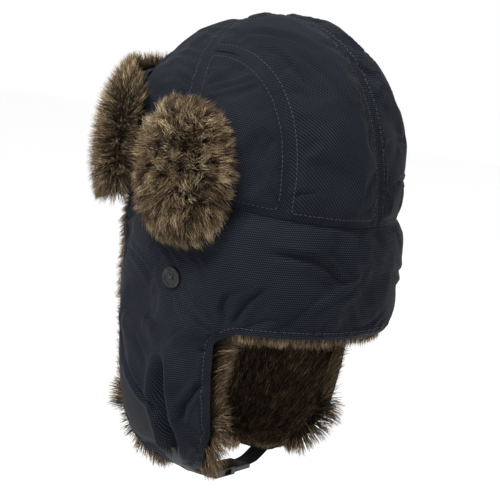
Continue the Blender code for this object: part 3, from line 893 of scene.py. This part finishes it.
def make_skirt():
    """The band and both ear flaps are one cloth, simulated together and cut into three pieces."""
    corner = float(flap_rear(np.array(NECK_Z)))
    left = np.linspace(FRONT_EDGE, corner, FLAP_COLUMNS)
    back = np.linspace(corner, 2 * pi - corner, BACK_COLUMNS)[1:-1]
    thetas = np.concatenate((left, back, 2 * pi - left[::-1]))
    band = below_seam(thetas, NECK_Z, np.linspace(0, 1, BAND_ROWS))
    points = band.reshape(-1, 3)
    band_quads = grid_quads(len(thetas), BAND_ROWS)
    uv = np.stack(np.broadcast_arrays(thetas[:, None] * SKIRT_RADIUS, band[..., 2]), -1).reshape(-1, 2)

    across = np.linspace(0, 1, FLAP_COLUMNS)
    down = 1 - (1 - np.linspace(0, 1, FLAP_ROWS)) ** 1.12
    left_grid = place_grid(flap_base, across, down)
    flap_quads = {}
    outline = []
    for word in ("left", "right"):
        grid = left_grid if word == "left" else mirrored(left_grid)
        first = 0 if word == "left" else len(thetas) - FLAP_COLUMNS
        start = len(points)
        index = np.zeros((FLAP_COLUMNS, FLAP_ROWS), int)
        index[:, 0] = (first + np.arange(FLAP_COLUMNS)) * BAND_ROWS
        rest = np.arange(FLAP_COLUMNS * (FLAP_ROWS - 1)).reshape(FLAP_COLUMNS, FLAP_ROWS - 1)
        index[:, 1:] = start + rest
        points = np.vstack((points, grid[:, 1:].reshape(-1, 3)))
        here = thetas[first : first + FLAP_COLUMNS, None] * SKIRT_RADIUS + 0 * grid[:, 1:, 2]
        uv = np.vstack((uv, np.stack((here, grid[:, 1:, 2]), -1).reshape(-1, 2)))
        cells = np.stack((index[:-1, 1:], index[1:, 1:], index[1:, :-1], index[:-1, :-1]), -1)
        flap_quads[word] = cells.reshape(-1, 4)
        outline += [grid[0], grid[:, -1], grid[-1]]
    for edge in (0, -1):
        outline.append(band[edge])
    outline.append(band[FLAP_COLUMNS - 1 : len(thetas) - FLAP_COLUMNS + 1, 0])

    quads = np.vstack((band_quads, flap_quads["left"], flap_quads["right"]))
    normals = quad_normals(points, quads)
    hem = np.min([nearest(points, line)[0] for line in outline], axis=0)
    seam = nearest(points, SEAMS[-1])[0]
    shift = hollow(seam) - PUFF * 0.5
    shift -= HEM_DROP * (1 - smooth(hem / HEM_ROUND)) - groove(hem)
    shaped = folded(points + normals * shift[:, None], normals, SKIRT_FOLDS)
    held = np.maximum(held_levels(hem), np.where(seam < PIN_REACH, 1.0, 0.0))
    for theta in (BUTTON_THETA, -BUTTON_THETA):
        button = skirt_base(np.array(theta), np.array(BUTTON_Z))
        held[np.linalg.norm(points - button, axis=1) < BUTTON_HOLD] = 1.0
    shaped = relax("skirt", shaped, quads, held, *SKIRT_SWELL)
    final = quad_normals(shaped, quads)
    thickness = SKIRT_THICKNESS * (0.45 + 0.55 * smooth(hem / HEM_ROUND))

    pieces = {
        "band_cloth": (band_quads, "band_shell", "hat"),
        "flap_cloth_left": (flap_quads["left"], "ear_flap_shell_left", "ear_flap_left"),
        "flap_cloth_right": (flap_quads["right"], "ear_flap_shell_right", "ear_flap_right"),
    }
    for name, (own_quads, node, body) in pieces.items():
        piece = cloth_piece(name, shaped, final, own_quads, thickness, uv, SHELL_LOOK)
        lines = contour(shaped, own_quads, hem, STITCH_IN)
        thread = stitches(f"{name}_stitching", lines, shaped, own_quads)
        for made in (piece, thread):
            if body == "hat":
                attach(made, body)
            else:
                hang(made)
        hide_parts(node)


def hang(piece):
    """Bakes the piece's place into its mesh; nothing makes it bend with an ear flap."""
    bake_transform(piece)


def make_brow():
    thetas = np.linspace(-FRONT_EDGE, FRONT_EDGE, 70)
    grid = below_seam(thetas, BROW_Z, np.linspace(0, 1, 12))
    points = grid.reshape(-1, 3)
    quads = grid_quads(*grid.shape[:2])
    normals = quad_normals(points, quads)
    hem = nearest(points, grid[:, 0])[0]
    seam = nearest(points, grid[:, -1])[0]
    shift = -HEM_DROP * (1 - smooth(hem / HEM_ROUND)) - SEAM_DROP * np.exp(-((seam / (3 * MM)) ** 2))
    shaped = points + normals * shift[:, None]
    final = quad_normals(shaped, quads)
    piece = cloth_piece("brow_cloth", shaped, final, quads, PANEL_THICKNESS, arc_uv(grid), SHELL_LOOK)
    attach(piece, "hat")
    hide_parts("brow_edge")


# --- fur ----------------------------------------------------------------------------------------

FIBRE_STEPS = (0.0, 0.36, 0.70)
FIBRE_WIDTHS = (1.0, 0.86, 0.55)
FIBRE_RADIUS = 0.21 * MM
UP = np.array((0.0, 0.0, 1.0))
DOWN = -UP
# Lengths of the pile in mm
TAB_PILE = 16.5
VISOR_PILE = 16.0
FLAP_PILE = 14.0
BAND_PILE = 13.0
FRINGE_PILE = 14.5
EDGE_PILE = 10.0
EDGE_LONGEST = 24.0


def fibres(name, roots, aims, bends, lengths, seed, pale=0.0, spread=1.0, locks=0.55, patch=2.6 * MM):
    """Fur as closed tapering fibres, gathered into locks, in six tones from root to tip.

    aims are the directions at the root, bends the way that the tips lean, and pale lightens all.
    """
    rng = np.random.default_rng(seed)
    count = len(roots)
    aims = unit(aims + rng.normal(0, 0.16 * spread, (count, 3)))
    lengths = lengths * rng.uniform(0.72, 1.12, count)
    cells = np.floor(roots / patch).astype(int)
    _, lock = np.unique(cells, axis=0, return_inverse=True)
    lock = lock.ravel()
    total = lock.max() + 1
    size = np.bincount(lock, minlength=total)[:, None]

    def lock_mean(values):
        summed = np.zeros((total, 3))
        np.add.at(summed, lock, values)
        return (summed / size)[lock]

    lock_aim = unit(lock_mean(aims) + rng.normal(0, 0.20 * spread, (total, 3))[lock])
    centre = lock_mean(roots)
    lock_tone = rng.normal(0, 0.75, total)[lock]
    tips = roots + (unit(aims + bends * 0.9)) * lengths[:, None]
    lock_tips = centre + unit(lock_aim + bends * 0.9) * lengths[:, None] * 0.98
    pull = locks * rng.uniform(0.5, 1.0, (count, 1))
    tips = tips * (1 - pull) + lock_tips * pull

    def path(s):
        straight = roots + aims * lengths[:, None] * s
        return straight * (1 - s**1.4) + (roots + (tips - roots) * s) * s**1.4

    main = unit(tips - roots)
    helper = np.where(np.abs(main[:, 2:3]) < 0.9, [[0.0, 0.0, 1.0]], [[1.0, 0.0, 0.0]])
    side = unit(np.cross(main, helper))
    other = np.cross(main, side)
    turns = rng.uniform(0, 2 * pi, count)
    radius = FIBRE_RADIUS * rng.uniform(0.7, 1.25, count)
    rings = []
    for s, width in zip(FIBRE_STEPS, FIBRE_WIDTHS):
        middle = path(s)
        for k in range(3):
            angle = turns + k * 2 * pi / 3
            offset = side * np.cos(angle)[:, None] + other * np.sin(angle)[:, None]
            rings.append(middle + offset * (radius * width)[:, None])
    points = np.stack([*rings, path(1.0)], 1).reshape(-1, 3)

    base = (np.arange(count) * 10)[:, None]
    tone = lock_tone + rng.normal(0, 0.55, count) + pale
    quads, quad_tones, spikes, spike_tones = [], [], [], []
    for level, usual in ((0, 0.6), (1, 2.0)):
        for k in range(3):
            n = (k + 1) % 3
            quads.append(base + [[3 * level + k, 3 * level + n, 3 * level + 3 + n, 3 * level + 3 + k]])
            quad_tones.append(usual + tone * (0.4 + 0.5 * level))
    for k in range(3):
        spikes.append(base + [[6 + k, 6 + (k + 1) % 3, 9]])
        spike_tones.append(3.1 + tone)
    spikes.append(base + [[2, 1, 0]])
    spike_tones.append(np.zeros(count))
    faces = [np.vstack(quads), np.vstack(spikes)]
    tones = np.concatenate((*quad_tones, *spike_tones))
    shade = np.clip(np.round(tones), 0, len(FUR_TONES) - 1)
    obj = mesh_object(name, points, faces, FUR_LOOKS, None, shade)
    return obj


def scatter(points, normals, quads, count, rng, weight=None):
    """Random places on a mesh of quads, even over its area, with their normals and shares."""
    a, b, c, d = (points[quads[:, k]] for k in range(4))
    area = np.linalg.norm(np.cross(c - a, d - b), axis=1)
    if weight is not None:
        area = area * weight[quads].mean(1)
    pick = rng.choice(len(quads), count, p=area / area.sum())
    s, t = rng.uniform(0, 1, (2, count, 1))
    shares = ((1 - s) * (1 - t), s * (1 - t), s * t, (1 - s) * t)
    corners = quads[pick]

    def blend(values):
        return sum(values[corners[:, k]] * shares[k] for k in range(4))

    return blend(points), unit(blend(normals)), blend


def backing_layers(points, normals, backing):
    """The inner and the outer points of a fur's backing, from its two depths."""
    return [points + normals * depth for depth in backing]


def pad_object(name, outer, inner, quads):
    """The closed backing of a fur: an outer and an inner mesh of the same quads."""
    faces = layer_faces(quads, len(outer))
    obj = mesh_object(name, np.vstack((outer, inner)), faces, [FUR_GROUND])
    return obj


def both_sides(quads):
    """For the wearer's left and right: the mirror factors, the quads, a word and a sign."""
    yield np.array((1, 1, 1)), quads, "left", 1
    yield np.array((-1, 1, 1)), quads[:, ::-1], "right", -1


# Side tabs
TAB_BACKING = (0.0047, 0.0085)
TAB_REACH = (0.0320, 0.0425)
TAB_SQUARE = 2.5
TAB_SLOPE = 0.10
TAB_CROWNING = 0.0075
TAB_FIBRES = 12000
TAB_BEND = (-0.0400, -0.0150)


def tab_base(angle, reach):
    """Points under the left side tab, in polar form about its centre."""
    square = (np.abs(np.cos(angle)) ** TAB_SQUARE + np.abs(np.sin(angle)) ** TAB_SQUARE) ** (-1 / TAB_SQUARE)
    side = TAB_REACH[0] * reach * square * np.cos(angle)
    up = TAB_REACH[1] * reach * square * np.sin(angle)
    theta = TAB_THETA - side / ring_radius(np.array(TAB_THETA))
    return outside(theta, TAB_Z + up + TAB_SLOPE * side)


def make_side_tabs():
    angles = np.linspace(0, 2 * pi, 49)
    reaches = np.linspace(0.02, 1, 14)
    grid = place_grid(tab_base, angles, reaches)
    columns, rows = grid.shape[:2]
    points = grid.reshape(-1, 3)
    quads = grid_quads(columns, rows)
    normals = quad_normals(points, quads)
    # The first and last columns lie on each other, so they share their normals
    ends = unit(normals[:rows] + normals[-rows:])
    normals[:rows] = ends
    normals[-rows:] = ends
    reach = np.tile(reaches, columns)
    dome = np.sqrt(np.maximum(0, 1 - reach**2.6))
    outer = points + normals * (TAB_BACKING[1] + TAB_CROWNING * dome)[:, None]
    inner = points + normals * TAB_BACKING[0]
    centre = tab_base(np.array(0.0), np.array(0.0))
    weight = 1 + 1.4 * reach**3
    nap = np.array((0.0, 0.25, -0.30))
    for flip, here, word, side in both_sides(quads):
        backing = pad_object(f"side_tab_backing_{word}", outer * flip, inner * flip, here)
        rng = np.random.default_rng(11 + side)
        roots, outs, blend = scatter(outer, quad_normals(outer, quads), quads, TAB_FIBRES, rng, weight)
        share = blend(reach[:, None])
        away = roots - centre
        away = unit(away - outs * (away * outs).sum(1, keepdims=True))
        aims = outs * (1.0 - 0.55 * share**2) + away * (0.05 + 0.90 * share**2.4)
        bends = away * (0.05 + 0.25 * share**2) + nap * (0.45 + 0.4 * share)
        lengths = (TAB_PILE - 2.0 * share[:, 0] ** 2) * MM
        pile = fibres(
            f"side_tab_pile_{word}", roots * flip, aims * flip, bends * flip, lengths, 21 + side,
            pale=0.15, spread=1.8, locks=0.8, patch=4.6 * MM,
        )
        # The tab's foot, at the heights of TAB_BEND below the seam, is worked out but nothing bends about it;
        # both pieces are baked where they stand
        start, end = ((side * HALF_WIDTH, 0, z) for z in TAB_BEND)
        for piece in (backing, pile):
            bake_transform(piece)
            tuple(start)
            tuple(end)
        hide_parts(f"side_tab_fur_{word}")


# Visor
VISOR_BACKING = (0.0065, 0.0100)
VISOR_CROWNING = 0.0060
VISOR_FIBRES = 11500
VISOR_END_FALL = 0.026
VISOR_END_LIFT = 0.007
VISOR_HEM = 0.005


def visor_base(theta, share):
    """Points under the visor's fur, from its foot to its top; it narrows toward its ends."""
    end = np.abs(theta) / VISOR_HALF
    top = VISOR_TOP - VISOR_END_FALL * end**9 - VISOR_HEM
    low = BROW_Z + VISOR_END_LIFT * end**2
    return outside(theta, low + (top - low) * share)


def make_visor():
    """The visor's fur in two halves, which meet in the middle of the brow."""
    thetas = np.linspace(0, VISOR_HALF - 0.03, 50)
    shares = np.linspace(0, 1, 30)
    grid = place_grid(visor_base, thetas, shares)
    points = grid.reshape(-1, 3)
    quads = grid_quads(*grid.shape[:2])
    normals = quad_normals(points, quads)
    end = np.repeat(thetas / VISOR_HALF, len(shares))
    along_visor = np.repeat(thetas / thetas[-1], len(shares))
    up = np.tile(shares, len(thetas))
    dome = np.sqrt(np.maximum(0, 1 - end**8))
    dome = dome * np.sqrt(np.maximum(0, 1 - np.abs(2 * up - 0.9) ** 3 / 1.37))
    outer = points + normals * (VISOR_BACKING[1] + VISOR_CROWNING * dome)[:, None]
    inner = points + normals * VISOR_BACKING[0]
    edge = np.maximum(np.abs(2 * up - 1), along_visor**2)
    weight = 1 + 3.0 * edge**6
    for flip, here, word, side in both_sides(quads):
        backing = pad_object(f"visor_backing_{word}", outer * flip, inner * flip, here)
        rng = np.random.default_rng(31 + side)
        roots, outs, blend = scatter(outer, quad_normals(outer, quads), quads, VISOR_FIBRES, rng, weight)
        height = blend(up[:, None])
        far = blend(along_visor[:, None])
        along = unit(np.cross(UP, outs))
        aims = outs * (1.0 - 0.75 * far**8) + along * 1.1 * far**9
        aims = aims + UP * (0.9 * smooth((height - 0.72) / 0.28) - 1.0 * smooth((0.22 - height) / 0.22))
        bends = UP * (height - 0.45) * 0.5 + along * 0.25 * far**2
        lengths = (VISOR_PILE + 3.0 * far[:, 0] ** 6) * MM
        pile = fibres(
            f"visor_pile_{word}", roots * flip, aims * flip, bends * flip, lengths, 41 + side, pale=-0.1
        )
        for piece in (backing, pile):
            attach(piece, "visor")
        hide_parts("visor_fur")


# Lining of the flaps and the band
LINING_BACKING = (0.0040, 0.0075)
FLAP_FIBRES = 9000
EDGE_FIBRES = 12000
BAND_FIBRES = 10000
FRINGE_FIBRES = 9000
FACE_FIBRES = 7000
FRINGE_START = radians(112)  # the neck fringe begins just behind the ear flaps


def make_flap_lining():
    across = np.linspace(-0.03, 0.98, 42)
    down = np.linspace(0.0, 0.985, 36)
    grid = place_grid(flap_base, across, down)
    points = grid.reshape(-1, 3)
    quads = grid_quads(*grid.shape[:2])
    normals = quad_normals(points, quads)
    inner, outer = backing_layers(points, normals, LINING_BACKING)
    u = np.repeat(across, len(down))
    v = np.tile(down, len(across))
    for flip, here, word, side in both_sides(quads):
        backing = pad_object(f"flap_lining_backing_{word}", outer * flip, inner * flip, here)
        rng = np.random.default_rng(51 + side)
        roots, outs, blend = scatter(outer, quad_normals(outer, quads), quads, FLAP_FIBRES, rng)
        aims = outs * 0.8 + DOWN * 0.55
        bends = DOWN * 0.35 + 0 * outs
        lengths = np.full(len(roots), FLAP_PILE * MM)
        pile = fibres(
            f"flap_lining_pile_{word}", roots * flip, aims * flip, bends * flip, lengths, 61 + side, pale=-0.7
        )

        # The pile that rolls out past the cloth's edge, from a strip just inside it
        rng = np.random.default_rng(71 + side)
        near_rim = np.minimum(np.minimum(u, 1 - u) * 0.15, (1 - v) * 0.12)
        weight = np.exp(-((near_rim / 0.006) ** 2)) + 1e-6
        roots, outs, blend = scatter(outer, quad_normals(outer, quads), quads, EDGE_FIBRES, rng, weight)
        here_u, here_v = blend(u[:, None]), blend(v[:, None])
        tangent = flap_tangent(here_u, here_v)
        rear = smooth((here_u - 0.72) / 0.25)
        front = smooth((0.28 - here_u) / 0.25)
        low = smooth((here_v - 0.80) / 0.18)
        outward = unit(tangent * (rear - front) + DOWN * low + 1e-9)
        reach = np.maximum(np.maximum(rear, front), low)
        spin = rng.uniform(-0.15, 1.0, (EDGE_FIBRES, 1))
        # Ahead of the cloth's front edge the pile turns outwards
        past = smooth((0.02 - here_u) / 0.03)
        aims = outward * (0.95 * reach) + outs * ((0.15 + 0.75 * spin) * (1 - past) - 1.1 * spin * past)
        bends = outward * 0.15 - outs * 0.12 + DOWN * 0.22
        lengths = (EDGE_PILE + 11.0 * rear[:, 0] + 5.0 * front[:, 0] + 12.0 * low[:, 0]) * MM
        by_strap = low[:, 0] * smooth((0.026 - np.abs(roots[:, 1] - STRAP_Y)) / 0.010)
        lengths = np.minimum(lengths, EDGE_LONGEST * MM) * (1 - 0.62 * by_strap)
        edge = fibres(
            f"flap_edge_pile_{word}", roots * flip, aims * flip, bends * flip, lengths, 81 + side, pale=-0.05
        )
        for piece in (backing, pile, edge):
            hang(piece)
        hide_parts(f"ear_flap_fur_{word}")


def flap_tangent(u, v):
    """The unit direction across the left flap, from face to nape."""
    step = 1e-3
    u, v = u[:, 0], v[:, 0]
    return unit(flap_base(u + step, v) - flap_base(u - step, v))


def make_band_lining():
    thetas = np.linspace(FRONT_EDGE - 0.03, 2 * pi - FRONT_EDGE + 0.03, 116)
    shares = np.linspace(0.03, 0.90, 20)
    grid = below_seam(thetas, NECK_Z, shares, lift=1.5 * MM)
    points = grid.reshape(-1, 3)
    quads = grid_quads(*grid.shape[:2])[:, ::-1]
    normals = quad_normals(points, quads)
    inner, outer = backing_layers(points, normals, LINING_BACKING)
    backing = pad_object("band_lining_backing", outer, inner, quads)
    rng = np.random.default_rng(91)
    roots, outs, _ = scatter(outer, quad_normals(outer, quads), quads, BAND_FIBRES, rng)
    pile = fibres(
        "band_lining_pile", roots, outs * 0.85 + DOWN * 0.5, DOWN * 0.3 + 0 * outs,
        np.full(len(roots), BAND_PILE * MM), 92, pale=-0.7,
    )
    rng = np.random.default_rng(93)
    low = np.tile(shares, len(thetas))
    behind = np.repeat(np.abs(thetas - pi) < pi - FRINGE_START, len(shares))
    weight = np.where(behind, np.exp(-((low / 0.12) ** 2)), 0) + 1e-9
    roots, outs, _ = scatter(outer, quad_normals(outer, quads), quads, FRINGE_FIBRES, rng, weight)
    spin = rng.uniform(-0.2, 1.0, (FRINGE_FIBRES, 1))
    fringe = fibres(
        "neck_fringe", roots, DOWN + outs * spin * 0.7, DOWN * 0.2 - outs * 0.1,
        np.full(FRINGE_FIBRES, FRINGE_PILE * MM), 94, pale=-0.05,
    )
    # The pile that shows past the band's front edges, beside the face
    rng = np.random.default_rng(95)
    beside = pi - np.repeat(np.abs(thetas - pi), len(shares)) - FRONT_EDGE
    below = points[:, 2] < BROW_Z - 0.003
    weight = np.where(below, np.exp(-(((beside + 0.022) / 0.012) ** 2)), 0) + 1e-9
    roots, outs, _ = scatter(outer, quad_normals(outer, quads), quads, FACE_FIBRES, rng, weight)
    ahead = unit(np.stack((-roots[:, 1], roots[:, 0], 0 * roots[:, 0]), -1))
    ahead *= -np.sign(ahead[:, 1:2])
    spin = rng.uniform(-0.5, 1.3, (FACE_FIBRES, 1))
    face = fibres(
        "face_fringe", roots, ahead * 0.6 - outs * spin + DOWN * 0.15, DOWN * 0.25 - outs * 0.2,
        np.full(FACE_FIBRES, FRINGE_PILE * MM), 96, pale=-0.05,
    )
    for piece in (backing, pile, fringe, face):
        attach(piece, "hat")
    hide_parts("band_fur_lining")


# --- chin strap ---------------------------------------------------------------------------------

STRAP_HALF_WIDTH = 0.0075
STRAP_HALF_THICK = 0.0008
STRAP_THETA = radians(82)
STRAP_HEIGHTS = (-0.1910, -0.1980, -0.2040, -0.2090, -0.2115)  # down the flap, as in the frame
STRAP_LIFT = 1.2 * MM
STRAP_SAG = 1.8 * MM
STRAP_INNER = 0.0225


def strap_route():
    """The left webbing's middle line: down the flap's outside and in to the buckle."""
    on_flap = skirt_base(np.full(len(STRAP_HEIGHTS), STRAP_THETA), np.array(STRAP_HEIGHTS))
    on_flap[:, 0] += STRAP_LIFT
    on_flap[:, 1] = STRAP_Y
    last = np.array((STRAP_INNER, STRAP_Y, STRAP_Z))
    middle = (on_flap[-1] + last) / 2 + DOWN * STRAP_SAG
    return smooth_line(np.vstack((on_flap, middle, last)), 64)


def make_straps():
    route = strap_route()
    along = unit(np.gradient(route, axis=0))
    widths = np.linspace(-1, 1, 13)
    up = unit(np.cross(along, (0.0, 1.0, 0.0)))
    # Turned selvedges stand a little thicker than the middle
    profile = STRAP_HALF_THICK * (1 + 0.25 * np.exp(-(((np.abs(widths) - 0.88) / 0.08) ** 2)))
    profile[[0, -1]] *= 0.55
    across = widths[None, :, None] * np.array((0, STRAP_HALF_WIDTH, 0))
    outer = route[:, None] + across + up[:, None] * profile[None, :, None]
    inner = route[:, None] + across - up[:, None] * profile[None, :, None]
    rows = outer.shape[:2]
    quads = grid_quads(*rows)
    lengths = np.concatenate(([0], np.cumsum(np.linalg.norm(np.diff(route, axis=0), axis=1))))
    uv = np.stack(np.broadcast_arrays(lengths[:, None], widths[None, :] * STRAP_HALF_WIDTH), -1)
    uv = uv.reshape(-1, 2)
    for flip, here, word, side in both_sides(quads):
        points = np.vstack((outer.reshape(-1, 3), inner.reshape(-1, 3))) * flip
        faces = layer_faces(here, rows[0] * rows[1])
        strap = mesh_object(f"strap_{word}", points, faces, [WEBBING_LOOK], np.vstack((uv, uv)))
        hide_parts(f"chin_strap_{word}")
        if side > 0:
            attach(strap, "ear_flap_left")
        else:
            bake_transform(strap)


# --- surroundings -------------------------------------------------------------------------------

FLOOR_Z = -0.60
FLOOR_HALF = 6.0
# Each lamp's azimuth and elevation in degrees, its distance and size in metres, and its power
LIGHTS = {
    "key": (85, 48, 1.6, 0.6, 48),
    "fill": (205, 20, 1.8, 1.2, 6),
    "top": (160, 80, 1.5, 1.0, 8),
}


def make_floor():
    corners = np.array(
        [(x * FLOOR_HALF, y * FLOOR_HALF, FLOOR_Z) for x, y in ((-1, -1), (1, -1), (1, 1), (-1, 1))]
    )
    nodes = Nodes("floor", 0.9, Base_Color=(0.97, 0.97, 0.97, 1))
    floor = mesh_object("floor", corners, [np.array([[0, 1, 2, 3]])], [nodes.material])


def make_light(name, azimuth, elevation, distance, size, power):
    data = bpy.data.lights.new(name, "AREA")
    data.shape = "DISK"
    data.size = size
    data.energy = power
    light = bpy.data.objects.new(name, data)
    light.matrix_world = looking_in(azimuth, elevation, distance)
    bpy.context.scene.collection.objects.link(light)


def make_surroundings():
    make_floor()
    world = bpy.data.worlds.new("studio")
    world.use_nodes = True
    background = world.node_tree.nodes["Background"].inputs
    background["Color"].default_value = (1, 1, 1, 1)
    background["Strength"].default_value = 1.0
    bpy.context.scene.world = world
    bpy.context.scene.view_settings.view_transform = "Standard"
    for name, light in LIGHTS.items():
        make_light(name, *light)


make_crown()
make_skirt()
make_brow()
make_side_tabs()
make_visor()
make_flap_lining()
make_band_lining()
make_straps()
make_surroundings()
